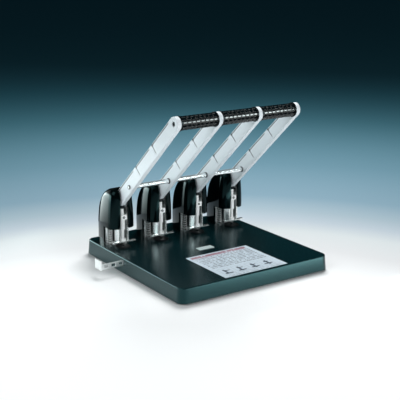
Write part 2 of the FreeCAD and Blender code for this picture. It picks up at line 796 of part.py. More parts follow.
def paper_guide():
    """Strip with a row of windows, bent back at its outer end into a taller stop plate."""
    top = tray_top - guide_top_under_tray
    bottom = top - guide_height
    plate_top = tray_top + guide_plate_rise
    plate_bottom = bottom - guide_plate_drop
    plate_x = tray_left - guide_reach
    strip_end_x = plate_x + guide_length
    rear_y = guide_y + guide_thickness
    plate_rear_y = guide_y + guide_plate_depth
    outer_bend = guide_bend_radius + guide_thickness
    bend = (plate_x + outer_bend, guide_y + outer_bend)
    inside_x = plate_x + guide_thickness
    angle = outline(on_plan, [(strip_end_x, guide_y), (bend[0], guide_y),
                              (turn(bend, outer_bend, -135), (plate_x, bend[1])), (plate_x, plate_rear_y),
                              (inside_x, plate_rear_y), (inside_x, bend[1]),
                              (turn(bend, guide_bend_radius, -135), (bend[0], rear_y)),
                              (strip_end_x, rear_y)])
    angle = angle.extrude(vec(0, 0, plate_top - plate_bottom))
    angle.translate(vec(0, 0, plate_bottom))
    cuts = []
    for low, high in ((plate_bottom - past, bottom), (top, plate_top + past)):
        cuts.append(block(bend[0], strip_end_x + past, guide_y - past, rear_y + past, low, high))
    middle = (top + bottom) / 2
    for k in range(guide_window_count):
        x0 = plate_x + guide_window_pitch * (k + 0.5)
        cuts.append(block(x0, x0 + guide_window_width, guide_y - past, rear_y + past,
                          middle - guide_window_height / 2, middle + guide_window_height / 2))
    return angle.cut(Part.makeCompound(cuts))


def guide_rail():
    top = tray_top - guide_top_under_tray + rail_gap
    bottom = top - guide_height - 2 * rail_gap
    x0 = tray_left + tray_wall
    front = guide_y - rail_gap
    rear = guide_y + guide_thickness + rail_gap
    rail = block(x0, x0 + rail_length, front - rail_wall, rear + rail_wall, bottom - rail_wall, tray_under)
    return rail.cut(block(x0 - past, x0 + rail_length + past, front, rear, bottom, top))


os.makedirs("parts", exist_ok=True)
save("base_tray", base_tray())
save("chip_cover", chip_cover())
save("rubber_feet", rubber_feet())
save("instruction_label", label())
save("badge_plate", badge())
save("guide_rail", guide_rail())
save("paper_guide", paper_guide())
for n, x in enumerate(head_x, 1):
    save("frame_%d" % n, frame(x), pin_row_y)
    save("hood_%d" % n, hood(x), pin_row_y)
    save("die_%d" % n, die(x), pin_row_y)
    save("punch_pin_%d" % n, punch_pin(x), pin_row_y)
    save("crosshead_%d" % n, crosshead(x), pin_row_y)
    save("clamp_screw_%d" % n, clamp_screw(x), pin_row_y)
    save("press_cap_%d" % n, press_cap(x), pin_row_y)
    save("return_springs_%d" % n, [coil(x - spring_x), coil(x + spring_x)], pin_row_y)
    save("lever_%d" % n, lever(x), pin_row_y)
save("guide_bushes", [guide_bush(x) for x in head_x], pin_row_y)
save("spring_posts", [spring_post(x + side * spring_x) for x in head_x for side in (-1, 1)], pin_row_y)
save("hinge_pins", [hinge_pin(x) for x in head_x], pin_row_y)
save("hinge_spacers", [ring for x in head_x for ring in hinge_spacers(x)], pin_row_y)
save("frame_bolts", frame_bolts(), pin_row_y)
save("hood_screws", hood_screws(), pin_row_y)
save("handle_shaft", handle_shaft(), pin_row_y)
save("handle_screws", handle_screws(), pin_row_y)
save("grip_collars", grip_collars(), pin_row_y)
save("tie_bolt", tie_bolt(), pin_row_y)
save("tie_washers", tie_washers(), pin_row_y)
for n, gap in enumerate(gaps_between_levers(), 1):
    save("grip_%d" % n, grip(gap), pin_row_y)
    save("tie_rod_%d" % n, tie_rod(gap), pin_row_y)
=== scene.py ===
import json
import math

import bmesh
import bpy
import numpy as np
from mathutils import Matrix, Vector


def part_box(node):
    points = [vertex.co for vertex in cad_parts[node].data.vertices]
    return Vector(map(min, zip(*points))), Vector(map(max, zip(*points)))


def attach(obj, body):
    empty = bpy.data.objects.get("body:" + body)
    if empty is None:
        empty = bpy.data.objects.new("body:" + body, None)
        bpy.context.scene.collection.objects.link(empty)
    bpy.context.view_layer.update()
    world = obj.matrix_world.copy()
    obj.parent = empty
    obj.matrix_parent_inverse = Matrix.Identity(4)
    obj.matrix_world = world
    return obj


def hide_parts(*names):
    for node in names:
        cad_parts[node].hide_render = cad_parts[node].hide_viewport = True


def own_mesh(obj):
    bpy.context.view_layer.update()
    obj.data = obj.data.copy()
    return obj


# Four-head lever paper punch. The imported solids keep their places. Hoods, levers, grips and
# springs get worked surfaces, and every other node gets its finish. Sizes are in millimetres
# and become metres when a mesh is made. X runs along the heads, Y to the back and Z up.

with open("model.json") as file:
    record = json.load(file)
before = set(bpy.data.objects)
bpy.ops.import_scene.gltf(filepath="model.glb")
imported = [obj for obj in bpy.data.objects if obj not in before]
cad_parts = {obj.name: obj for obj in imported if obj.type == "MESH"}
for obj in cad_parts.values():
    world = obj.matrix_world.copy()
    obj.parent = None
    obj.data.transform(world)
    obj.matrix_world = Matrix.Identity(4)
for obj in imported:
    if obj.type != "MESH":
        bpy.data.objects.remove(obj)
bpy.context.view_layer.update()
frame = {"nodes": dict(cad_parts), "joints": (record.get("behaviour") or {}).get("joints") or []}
nodes = frame["nodes"]
METRE = 0.001

HEADS = range(1, 5)
GAPS = range(1, 4)

# Hoods, with depths counted from their front and heights from the tray's top face
HOOD_WALL = 2.2
HOOD_FRONT_CORNER = 16.5
HOOD_TAPER = 19.0
HOOD_SIDE_MIDDLE = (46.0, 22.0)
HOOD_REAR_CORNER = (69.0, 16.0)
HOOD_SIDE_SHARE = 0.42
HOOD_SIDE_LEAN = math.radians(8.0)
HOOD_LEAN_SHARE = 0.35
HOOD_CROWN_RADIUS = 13.0
HOOD_ARCH_CENTRE = (12.0, 46.0)
HOOD_ARCH_RADIUS = 62.1
HOOD_TOP_RADIUS = 13.0
HOOD_SLOT_HALF = 8.0
HOOD_SLOT_DEPTH = 17.0
HOOD_WINDOW_HEIGHT = 36.5
HOOD_WINDOW_DEPTH = 35.0
HOOD_EDGE = 0.5
HOOD_CROWN_SHARE = 0.7
HOOD_JOIN = 0.06
HOOD_ROW_GAP = 0.12
HOOD_ROW_STEP = 4.0
HOOD_ARCH_SWEEP = 66.0
HOOD_POINTS = {"top": 5, "crown": 14, "side": 6, "upright": 4, "window": 7}

# Levers, measured along from the handle's axis and across to the front
LEVER_HALF_WIDTH = 13.0
LEVER_END_RADIUS = 11.75
LEVER_EYE_RADIUS = 13.0
LEVER_PIVOT_OFFSET = 6.05
LEVER_UNDERSIDE_DROP = 2.0
LEVER_EDGE = 1.1
LEVER_CHEEK = 2.1
LEVER_WEB = 3.0
LEVER_POCKET = (22.0, 196.0)
LEVER_SEAMS = (79.0, 150.0)
LEVER_SEAM_LEAN = 0.13
LEVER_SEAM_REACH = 19.0
LEVER_SEAM_FADE = 6.0
LEVER_SEAM_DEPTH = 0.4
LEVER_SEAM_HALF = 0.4
LEVER_SEAM_WALL = 0.25
LEVER_SEAM_SPREAD = 14.0
LEVER_NOTCH_DEPTH = 1.1
LEVER_NOTCH_REACH = 5.0
LEVER_NOTCH_FADE = 1.5
LEVER_LINE = (2.1, 2.9)
LEVER_LINE_WALL = 0.12
LEVER_LINE_DEPTH = 0.5
LEVER_LINE_ENDS = (12.0, 236.0)
LEVER_LINE_BREAK = 13.0
LEVER_BREAK_EDGES = (0.3, 0.4)
LEVER_SHARP = 32.0

# Columns of points along a lever and rows across it
LEVER_TURN = (26, 90)
LEVER_EYE_SWEEP = 66
LEVER_COLUMN_START = 8.0
LEVER_COLUMN_STEP = 6.0
LEVER_COLUMN_ROOM = 1.5
LEVER_SEAM_COLUMNS = (-0.6, -0.25, 0.25, 0.6)
LEVER_BREAK_COLUMNS = (0.0, 0.8)
LEVER_LINE_ROWS = (0.15, 0.1)
LEVER_FLAT_ROW = 3.8
LEVER_EDGE_SHARE = 0.42
LEVER_NOSE_REACH = 12.0

BORE_RADIUS = 4.0
BORE_CHAMFER = 0.8
BORE_OVERRUN = 1.0
BORE_FACET = 7.5

# Grips and springs
GRIP_PAD_RISE = 0.7
GRIP_PAD_ROWS = 12
GRIP_PADS_IN_ROW = 8
GRIP_PAD_SHARE = (0.78, 0.66)
GRIP_PAD_SLOPE = 0.08
GRIP_PAD_EDGE = 0.14
GRIP_PAD_SHOULDER = 0.4
GRIP_BORE_CLEARANCE = 0.1
SPRING_RADIUS = 1.95
SPRING_WIRE = 0.95
SPRING_TURNS = 11
SPRING_STEPS_IN_TURN = 20
SPRING_FACET = 45
SPRING_X = 13.2

# Label and badge, counted from their near left corner. Names that end in IN count in from an edge
LABEL_MARGIN = 8
LABEL_HEADING_LEFT = 5
LABEL_HEADING_IN = (13, 4)
LABEL_ROW_PITCH = 6.5
LABEL_ROW_SHARE = (0.30, 0.66)
LABEL_TEXT_FROM = 44
LABEL_TEXT_IN = 16
LABEL_FOOT = (3, 9)
FIGURES = 4
FIGURE_MARGIN = 9
FIGURE_GAP = 6
FIGURE_FRAME = (11, 39)
FIGURE_LINE = 0.5
FIGURE_BAR = (14, 18)
FIGURE_BAR_IN = 3
FIGURE_STEM = (7, 11)
FIGURE_STEM_HEIGHT = (14, 34)
FIGURE_ARM = (27, 30)
FIGURE_ARM_IN = 2
BADGE_BORDER = (1, 1.6)
BADGE_ROW_PITCH = 3.4
BADGE_ROW_SHARE = (0.3, 0.7)
BADGE_TICKS_IN = (3, 2.4)
PRINT_BLUR = 0.25


def middle(node):
    """Middle of a node's box, in millimetres."""
    low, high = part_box(node)
    return np.array((low + high) / 2) / METRE


def low_corner(node):
    """Corner of a node's box at its smallest X, Y and Z, in millimetres."""
    return np.array(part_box(node)[0]) / METRE


def high_corner(node):
    """Corner of a node's box at its largest X, Y and Z, in millimetres."""
    return np.array(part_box(node)[1]) / METRE


def extent(node):
    """Size of a node's box along X, Y and Z, in millimetres."""
    return high_corner(node) - low_corner(node)


def joint(name):
    """The frame's entry for the joint of that name."""
    return next(entry for entry in frame["joints"] if entry["name"] == name)


head_x = {n: middle("die_%d" % n)[0] for n in HEADS}
deck = high_corner("base_tray")[2]
hood_front_y, hood_rear_y = low_corner("hood_1")[1], high_corner("hood_1")[1]
hood_depth = hood_rear_y - hood_front_y
hood_half = extent("hood_1")[0] / 2
lever_half = extent("lever_1")[0] / 2
handle = middle("handle_shaft")[1:]
pivot = np.array(joint("lever_swing")["pos_m"][1:]) / METRE
grip_radius = extent("grip_1")[2] / 2
grip_bore_radius = extent("handle_shaft")[2] / 2 + GRIP_BORE_CLEARANCE


# Surfaces from arrays

def net(*arrays):
    """Arrays spread over one grid and stacked on a last axis."""
    return np.stack(np.broadcast_arrays(*arrays), -1)


def grid_faces(rows, columns, ring=False):
    """Quads between neighbouring points of a grid numbered row by row. A ring closes its rows."""
    row = np.arange(rows - 1)[:, None] * columns
    column = np.arange(columns if ring else columns - 1)[None, :]
    beside = (column + 1) % columns
    return net(row + column, row + columns + column, row + columns + beside, row + beside).reshape(-1, 4)


def sheet(points, ring=False):
    """A grid of points with the quads between them."""
    return points, grid_faces(*points.shape[:2], ring=ring)


def piece(name, sheets, sharp=40.0, merge=0.002):
    """Object from sheets, each a (points, quads) pair in millimetres.

    Coincident points are joined, flattened quads dropped and the normals turned outwards.
    """
    points = np.concatenate([p.reshape(-1, 3) for p, _ in sheets])
    starts = np.cumsum([0] + [p.reshape(-1, 3).shape[0] for p, _ in sheets])
    quads = np.concatenate([q + start for (_, q), start in zip(sheets, starts)])
    mesh = bpy.data.meshes.new(name)
    mesh.from_pydata((points * METRE).tolist(), [], quads.tolist())
    work = bmesh.new()
    work.from_mesh(mesh)
    bmesh.ops.remove_doubles(work, verts=work.verts, dist=merge * METRE)
    bmesh.ops.dissolve_degenerate(work, edges=work.edges, dist=merge * METRE / 10)
    bmesh.ops.recalc_face_normals(work, faces=work.faces)
    work.to_mesh(mesh)
    work.free()
    mesh.shade_smooth()
    mesh.set_sharp_from_angle(angle=math.radians(sharp))
    made = bpy.data.objects.new(name, mesh)
    bpy.context.scene.collection.objects.link(made)
    return made


def modify(made, kind, **settings):
    """Adds a modifier of that kind with its settings."""
    modifier = made.modifiers.new(kind.title(), kind)
    for key, value in settings.items():
        setattr(modifier, key, value)


def place(made, body, slot, replaced):
    """Rides the piece on its body and hides the node it stands for. Its slot is not used."""
    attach(made, body)
    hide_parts(replaced)
    return made


def circle_through(a, b, c):
    """Centre and radius of the circle through three points, from a centre equally far from each."""
    (ax, ay), (bx, by), (cx, cy) = a, b, c
    left = np.array([[bx - ax, by - ay], [cx - ax, cy - ay]]) * 2
    right = np.array([bx * bx + by * by - ax * ax - ay * ay, cx * cx + cy * cy - ax * ax - ay * ay])
    centre = np.linalg.solve(left, right)
    return centre, math.hypot(ax - centre[0], ay - centre[1])


# Hoods

def hood_width(depth):
    """Half the plan outline: a quarter round in front, straight, a flat arc inwards, a rear arc."""
    inward = HOOD_FRONT_CORNER - depth
    front = hood_half - HOOD_FRONT_CORNER + np.sqrt(np.clip(HOOD_FRONT_CORNER ** 2 - inward ** 2, 0, None))
    middle_y, middle_half = circle_through((HOOD_TAPER, hood_half), HOOD_SIDE_MIDDLE, HOOD_REAR_CORNER)[0]
    side_radius = math.hypot(HOOD_TAPER - middle_y, hood_half - middle_half)
    side = middle_half + np.sqrt(np.clip(side_radius ** 2 - (depth - middle_y) ** 2, 0, None))
    corner_y, corner_half = HOOD_REAR_CORNER
    centre, radius = circle_through(HOOD_REAR_CORNER, (corner_y, -corner_half), (hood_depth, 0))
    rear = np.sqrt(np.clip(radius ** 2 - (depth - centre[0]) ** 2, 0, None))
    width = np.where(depth < HOOD_FRONT_CORNER, front, hood_half)
    width = np.where(depth > HOOD_TAPER, side, width)
    return np.where(depth > corner_y, rear, width)


def hood_height(depth):
    """Side outline: a front quarter round, the great arch, and a steep straight back."""
    arch_y, arch_z = HOOD_ARCH_CENTRE
    reach = HOOD_ARCH_RADIUS - HOOD_TOP_RADIUS
    top_z = arch_z + math.sqrt(reach ** 2 - (HOOD_TOP_RADIUS - arch_y) ** 2)
    join = arch_y + (HOOD_TOP_RADIUS - arch_y) * HOOD_ARCH_RADIUS / reach
    top = top_z + np.sqrt(np.clip(HOOD_TOP_RADIUS ** 2 - (depth - HOOD_TOP_RADIUS) ** 2, 0, None))
    arch = arch_z + np.sqrt(np.clip(HOOD_ARCH_RADIUS ** 2 - (depth - arch_y) ** 2, 0, None))
    back_y = arch_y + HOOD_ARCH_RADIUS
    back = arch_z * (hood_depth - depth) / (hood_depth - back_y)
    return np.where(depth < join, top, np.where(depth < back_y, arch, back))


def hood_slot_edge(depth):
    """Half the slot's width: constant, then a half round that ends the slot on the top."""
    centre = HOOD_SLOT_DEPTH - HOOD_SLOT_HALF
    end = np.sqrt(np.clip(HOOD_SLOT_HALF ** 2 - (depth - centre) ** 2, 0, None))
    return np.where(depth < centre, HOOD_SLOT_HALF, end)


def hood_rows():
    """Depths of the sections: even angles round the corner, the slot's end and the arch, even
    steps along the shoulder, and shorter and shorter steps down the back.
    """
    quarter = np.radians(np.linspace(0, 90, 11))
    front = HOOD_FRONT_CORNER * (1 - np.cos(quarter))
    slot_end = HOOD_SLOT_DEPTH - HOOD_SLOT_HALF * (1 - np.sin(quarter))
    shoulder = np.arange(HOOD_TAPER, HOOD_WINDOW_DEPTH, HOOD_ROW_STEP)
    sweep = np.radians(np.linspace(HOOD_ARCH_SWEEP, 0, 24))
    arch = HOOD_ARCH_CENTRE[0] + HOOD_ARCH_RADIUS * np.cos(sweep)
    back = hood_depth - (hood_depth - arch[-1]) * np.linspace(0.8, 0, 6) ** 1.5
    rows = np.concatenate([front, slot_end, shoulder, [HOOD_WINDOW_DEPTH, HOOD_REAR_CORNER[0]], arch, back])
    rows = np.unique(np.round(rows, 3))
    return rows[np.concatenate([[True], np.diff(rows) > HOOD_ROW_GAP])]


def hood_section(depth):
    """Half of an inverted U at each depth, as X and Z from the slot's edge down to the tray.

    A flat top runs into a crown arc, the crown into a large side arc that leans inwards, and that
    into an upright side. All the arcs meet at a tangent. Crown and lean shrink where the section
    is small, and where the slot's edge lies beyond the crown, the section starts on the side arc.
    """
    width, height, edge = hood_width(depth), hood_height(depth), hood_slot_edge(depth)
    side_top = HOOD_SIDE_SHARE * height
    rise = np.maximum(height - side_top, 1e-6)
    slope = np.minimum(math.tan(HOOD_SIDE_LEAN / 2), HOOD_LEAN_SHARE * width / rise)
    lean = 2 * np.arctan(slope)
    room = np.minimum((width - rise * slope) / (1 - slope), HOOD_CROWN_SHARE * rise)
    crown = np.maximum(np.minimum(HOOD_CROWN_RADIUS, room), 1e-6)
    side_radius = (rise - crown) / np.maximum(np.sin(lean), 1e-6) + crown
    crown_x = width - side_radius * (1 - np.cos(lean)) - crown * np.cos(lean)
    crown_z = height - crown
    inner = np.maximum(crown_x, edge)
    flat_x = edge + (inner - edge) * np.linspace(0, 1, HOOD_POINTS["top"])[:-1]
    first = np.maximum(np.arccos(np.clip((inner - crown_x) / crown, 0, 1)), lean)
    tilt = lean + (first - lean) * np.linspace(1, 0, HOOD_POINTS["crown"])
    lowest = np.minimum(np.arccos(np.clip(1 - (width - edge) / side_radius, -1, 1)), lean)
    side = lowest * np.linspace(1, 0, HOOD_POINTS["side"])[1:]
    side_x = width - side_radius * (1 - np.cos(side))
    side_z = side_top + side_radius * np.sin(side)
    start_z = np.where(lowest < lean, side_top + side_radius * np.sin(lowest),
                       crown_z + crown * np.sin(first))
    turn_x = np.maximum(crown_x + crown * np.cos(tilt), edge)
    turn_z = np.minimum(crown_z + crown * np.sin(tilt), start_z)
    window = np.minimum(HOOD_WINDOW_HEIGHT, side_top)
    upright_z = side_top + (window - side_top) * np.linspace(0, 1, HOOD_POINTS["upright"])[1:]
    low_z = window * np.linspace(1, 0, HOOD_POINTS["window"])[1:]
    x = np.concatenate([flat_x, turn_x, side_x, width + 0 * upright_z, width + 0 * low_z], 1)
    z = np.concatenate([start_z + 0 * flat_x, turn_z, side_z, upright_z, low_z], 1)
    return x, z


def hood(n):
    """Sections joined from front to back on both sides of the slot. The wall goes inwards."""
    depth = hood_rows()[:, None]
    x, z = hood_section(depth)
    points = np.stack([x, hood_front_y + depth + 0 * x, z + deck], -1)
    quads = grid_faces(*x.shape)
    centres = points.reshape(-1, 3)[quads].mean(1) - (0, hood_front_y, deck)
    quads = quads[(centres[:, 1] > HOOD_WINDOW_DEPTH) | (centres[:, 2] > HOOD_WINDOW_HEIGHT)]
    shift = np.array([head_x[n], 0, 0])
    halves = [(points + shift, quads), (points * (-1, 1, 1) + shift, quads[:, ::-1])]
    made = piece("hood_shell_%d" % n, halves, merge=HOOD_JOIN)
    modify(made, "SOLIDIFY", thickness=HOOD_WALL * METRE, offset=-1, use_even_offset=True)
    modify(made, "BEVEL", width=HOOD_EDGE * METRE, segments=2, limit_method="ANGLE",
           angle_limit=math.radians(50), harden_normals=True)
    return place(made, "root", "hood_black", "hood_%d" % n)


# Levers

lever_length = math.hypot(*(pivot - handle))
lever_angle = (math.asin((handle[1] - pivot[1]) / lever_length)
               + math.asin(LEVER_PIVOT_OFFSET / lever_length))
eye_along = math.sqrt(lever_length ** 2 - LEVER_PIVOT_OFFSET ** 2)
eye_across = -LEVER_PIVOT_OFFSET
underside = handle[1] - (pivot[1] - LEVER_UNDERSIDE_DROP)
nose_along = (underside - LEVER_HALF_WIDTH * math.cos(lever_angle)) / math.sin(lever_angle)


def lever_point(x, along, across):
    """Places on the lever: along runs from the handle's axis down its length, across to the front."""
    y = handle[0] + along * math.cos(lever_angle) - across * math.sin(lever_angle)
    z = handle[1] - along * math.sin(lever_angle) - across * math.cos(lever_angle)
    return net(x, y, z)


def lever_outline(along):
    """Rear and front edge: a half round at the handle, a slow taper, and the eye at the pivot.

    In front the taper ends at the nose, from where the level underside runs back to the eye.
    """
    taper = LEVER_HALF_WIDTH - LEVER_END_RADIUS
    bar = LEVER_END_RADIUS + taper * np.clip(along / nose_along, 0, 1)
    end = np.sqrt(np.clip(LEVER_END_RADIUS ** 2 - along ** 2, 0, None))
    eye = np.sqrt(np.clip(LEVER_EYE_RADIUS ** 2 - (along - eye_along) ** 2, 0, None))
    level = (underside - along * math.sin(lever_angle)) / math.cos(lever_angle)
    inside_eye = np.abs(along - eye_along) < LEVER_EYE_RADIUS
    front = np.where(along > nose_along, level, bar)
    front = np.where(inside_eye & (along > nose_along), np.maximum(level, eye_across + eye), front)
    front = np.where(along > eye_along, eye_across + eye, front)
    rear = np.where(inside_eye, np.minimum(-bar, eye_across - eye), -bar)
    rear = np.where(along > eye_along, eye_across - eye, rear)
    return np.where(along < 0, -end, rear), np.where(along < 0, end, front)


def edge_steps():
    """Distances in from an edge that put the points of its rounding at even angles."""
    return LEVER_EDGE * (1 - np.cos(np.radians(np.linspace(0, 90, 5))))


def rounding(distance):
    """How far the rounded edge lies below the face, at a distance in from the outline."""
    inside = np.clip(LEVER_EDGE - distance, 0, None)
    return LEVER_EDGE - np.sqrt(np.clip(LEVER_EDGE ** 2 - inside ** 2, 0, None))


def lever_columns():
    """Places along the lever: even angles round both ends, even steps between them, and columns on
    both sides of each seam and of each place where a line stops.
    """
    tip = -LEVER_END_RADIUS + edge_steps()
    turn = -LEVER_END_RADIUS * np.cos(np.radians(np.linspace(*LEVER_TURN, 11)))
    bar = np.arange(LEVER_COLUMN_START, nose_along - 2, LEVER_COLUMN_STEP)
    seams = [seam + offset for seam in LEVER_SEAMS for offset in LEVER_SEAM_COLUMNS]
    breaks = [seam + LEVER_LINE_BREAK + offset for seam in LEVER_SEAMS for offset in LEVER_BREAK_COLUMNS]
    taken = np.array(seams + breaks + list(LEVER_POCKET))
    near = [along for along in bar if min(abs(taken - along)) > LEVER_COLUMN_ROOM]
    nose = np.linspace(nose_along, eye_along, 12)
    eye = eye_along + LEVER_EYE_RADIUS * np.sin(np.radians(np.linspace(0, LEVER_EYE_SWEEP, 11)))
    end = eye_along + LEVER_EYE_RADIUS - edge_steps()
    join = eye_along - math.sqrt(LEVER_EYE_RADIUS ** 2 - (LEVER_HALF_WIDTH - LEVER_PIVOT_OFFSET) ** 2)
    parts = [tip, turn, near, seams, breaks, LEVER_POCKET, nose, [join], eye, end]
    return np.unique(np.round(np.concatenate(parts), 3))


def lever_rows():
    """Distances in from the rear edge and from the front edge, with the line's two sides among them."""
    low, high = LEVER_LINE
    lip, foot = LEVER_LINE_ROWS
    line = [low - lip, low + foot, high - foot, high + lip]
    return np.concatenate([edge_steps(), line, [LEVER_FLAT_ROW]]), edge_steps()[::-1]


def face_relief(along, rear_distance):
    """Depth of the rear line, the seams and their notches below the lever's side.

    The line follows the rear edge and stops for a stretch below each seam. A seam is a narrow
    groove that fades out across the side, and its notch is deeper, at the rear edge.
    """
    low, high = LEVER_LINE
    first, last = LEVER_LINE_ENDS
    stop, start = LEVER_BREAK_EDGES
    line = np.clip(np.minimum(rear_distance - low, high - rear_distance) / LEVER_LINE_WALL + 0.5, 0, 1)
    shown = ((along > first) & (along < last)).astype(float)
    relief = np.zeros(np.broadcast_shapes(along.shape, rear_distance.shape))
    for seam in LEVER_SEAMS:
        shown = shown * (1 - ((along > seam + stop) & (along < seam + LEVER_LINE_BREAK + start)))
        near = np.clip((LEVER_SEAM_HALF - np.abs(along - seam)) / LEVER_SEAM_WALL, 0, 1)
        reach = np.clip((LEVER_SEAM_REACH - rear_distance) / LEVER_SEAM_FADE, 0, 1)
        notch = np.clip((LEVER_NOTCH_REACH - rear_distance) / LEVER_NOTCH_FADE, 0, 1)
        relief = np.maximum(relief, near * np.maximum(LEVER_SEAM_DEPTH * reach, LEVER_NOTCH_DEPTH * notch))
    return np.maximum(relief, LEVER_LINE_DEPTH * line * shown)


def lever_side(n, sign, along):
    """One side face as a grid of along and across, with its relief and rounded outline.

    Rows keep their distances from both edges, squeezed where the lever is narrow, and spread
    evenly between them. The columns near a seam slant with it.
    """
    rear, front = lever_outline(along)
    rear_steps, front_steps = lever_rows()
    width = front - rear
    from_rear = rear_steps[None, :] * np.minimum(1, LEVER_EDGE_SHARE * width / rear_steps[-1])
    from_front = front_steps[None, :] * np.minimum(1, LEVER_EDGE_SHARE * width / front_steps[0])
    last, first = from_rear[:, -1:], width - from_front[:, :1]
    between = last + (first - last) * np.linspace(0, 1, 12)[None, 1:-1]
    distance = np.concatenate([from_rear, between, width - from_front], 1)
    across = rear + distance
    end = LEVER_END_RADIUS - np.hypot(along, across)
    eye = LEVER_EYE_RADIUS - np.hypot(along - eye_along, across - eye_across)
    edge = np.minimum(distance, width - distance)
    edge = np.where(along < 0, end, np.where(along > eye_along, eye, edge))
    nose = (along > nose_along - LEVER_NOSE_REACH) & (along < eye_along)
    to_underside = underside - along * math.sin(lever_angle) - across * math.cos(lever_angle)
    edge = np.where(nose, np.minimum(edge, np.maximum(to_underside, eye)), edge)
    edge = np.clip(edge, 0, None)
    near_seam = sum(np.exp(-((along - seam) / LEVER_SEAM_SPREAD) ** 2) for seam in LEVER_SEAMS)
    slant = LEVER_SEAM_LEAN * distance * near_seam
    depth = rounding(edge) + face_relief(along, distance)
    x = head_x[n] + sign * (lever_half - depth)
    return lever_point(x, along - slant, across)


def lever_rim(sides, column, start, stop):
    """Strip between the two sides along their rear edge, which is column 0, or their front edge."""
    return sheet(np.stack([points[start:stop, column] for points in sides], 1))


def lever_channel(sides, along):
    """Channel in the rear edge: lips from each side, walls down to the web, and end walls."""
    inside = np.flatnonzero((along >= LEVER_POCKET[0] - 1e-3) & (along <= LEVER_POCKET[1] + 1e-3))
    start, stop = inside[0], inside[-1] + 1
    left, right = sides[0][start:stop, 0], sides[1][start:stop, 0]
    centre = (left[:, 0] + right[:, 0]) / 2
    half = lever_half - LEVER_CHEEK
    floor = lever_point(0, along[start:stop], LEVER_HALF_WIDTH - LEVER_WEB)
    strip = []
    for sign, edge in ((-1, left), (1, right)):
        lip, base = edge.copy(), floor.copy()
        lip[:, 0] = base[:, 0] = centre + sign * half
        strip.append((edge, lip, base))
    profile = np.stack([*strip[0], *strip[1][::-1]], 1)
    one_quad = np.array([[0, 1, 2, 3]])
    sheets = [sheet(profile)]
    sheets += [(profile[end, [1, 2, 3, 4]], one_quad) for end in (0, -1)]
    return sheets, start, stop - 1


def bored(made, x):
    """Cuts the handle's bore: radii turned about its axis, with a chamfer at both faces."""
    reach = lever_half + BORE_OVERRUN
    mouth = BORE_RADIUS + BORE_CHAMFER
    profile = [(-reach, 0), (-reach, mouth + BORE_OVERRUN), (BORE_CHAMFER - lever_half, BORE_RADIUS)]
    profile += [(-at, radius) for at, radius in profile[::-1]]
    at, radius = np.array(profile).T[:, :, None]
    angle = np.radians(np.arange(0, 360, BORE_FACET))[None, :]
    points = net(x + at, handle[0] + radius * np.sin(angle), handle[1] + radius * np.cos(angle))
    cutter = piece("bore", [sheet(points, ring=True)])
    modify(made, "BOOLEAN", operation="DIFFERENCE", solver="EXACT", object=cutter)
    bpy.context.view_layer.update()
    shown = made.evaluated_get(bpy.context.evaluated_depsgraph_get())
    mesh = bpy.data.meshes.new_from_object(shown)
    made.modifiers.clear()
    made.data = mesh
    mesh.set_sharp_from_angle(angle=math.radians(LEVER_SHARP))
    bpy.data.objects.remove(cutter)
    return made


def lever(n):
    """Two sides, the rims that join their outlines, and the channel between the rear rims."""
    along = lever_columns()
    sides = [lever_side(n, sign, along[:, None]) for sign in (-1, 1)]
    channel, start, stop = lever_channel(sides, along)
    sheets = [sheet(points) for points in sides]
    sheets.append(lever_rim(sides, -1, 0, len(along)))
    sheets.append(lever_rim(sides, 0, 0, start + 1))
    sheets.append(lever_rim(sides, 0, stop, len(along)))
    made = bored(piece("lever_channel_%d" % n, sheets + channel, sharp=LEVER_SHARP), head_x[n])
    return place(made, "lever_set", "lever_silver", "lever_%d" % n)


# Grips

def pad_net(count, share):
    """Places and rises along a row of pads, each with two steep sides and a level top."""
    edges = 0.5 + np.array([-1, 2 * GRIP_PAD_SLOPE - 1, 0, 1 - 2 * GRIP_PAD_SLOPE, 1]) * share / 2
    places = (np.arange(count)[:, None] + edges[None, :]).ravel() / count
    return places, np.tile([0.0, 1.0, 1.0, 1.0, 0.0], count)


def grip(n):
    """Sleeve whose radius rises by a pad's height on an even net of pads round and along it."""
    low, wide = low_corner("grip_%d" % n)[0], extent("grip_%d" % n)[0]
    base = grip_radius - GRIP_PAD_RISE
    along, rise_along = pad_net(GRIP_PADS_IN_ROW, GRIP_PAD_SHARE[0])
    around, rise_around = pad_net(GRIP_PAD_ROWS, GRIP_PAD_SHARE[1])
    along = np.concatenate([[0], along, [1]])
    rise_along = np.concatenate([[0], rise_along, [0]])
    radius = base + GRIP_PAD_RISE * rise_along[:, None] * rise_around[None, :]
    angle = 2 * math.pi * around[None, :]
    x = low + wide * along[:, None]
    points = net(x, handle[0] + radius * np.sin(angle), handle[1] + radius * np.cos(angle))
    sheets = [sheet(points, ring=True)]
    for end in (0, -1):
        outer = points[end]
        axis = np.array([outer[0, 0], *handle])
        face = np.stack([outer, axis + (outer - axis) * (grip_bore_radius / base)])
        sheets.append(sheet(face, ring=True))
    bore = np.stack([sheets[1][0][1], sheets[2][0][1]])
    sheets.append(sheet(bore, ring=True))
    made = piece("grip_pads_%d" % n, sheets, sharp=30.0)
    modify(made, "BEVEL", width=GRIP_PAD_EDGE * METRE, segments=2, limit_method="ANGLE",
           angle_limit=math.radians(25), harden_normals=True)
    return place(made, "lever_set", "grip_black", "grip_%d" % n)


# Springs

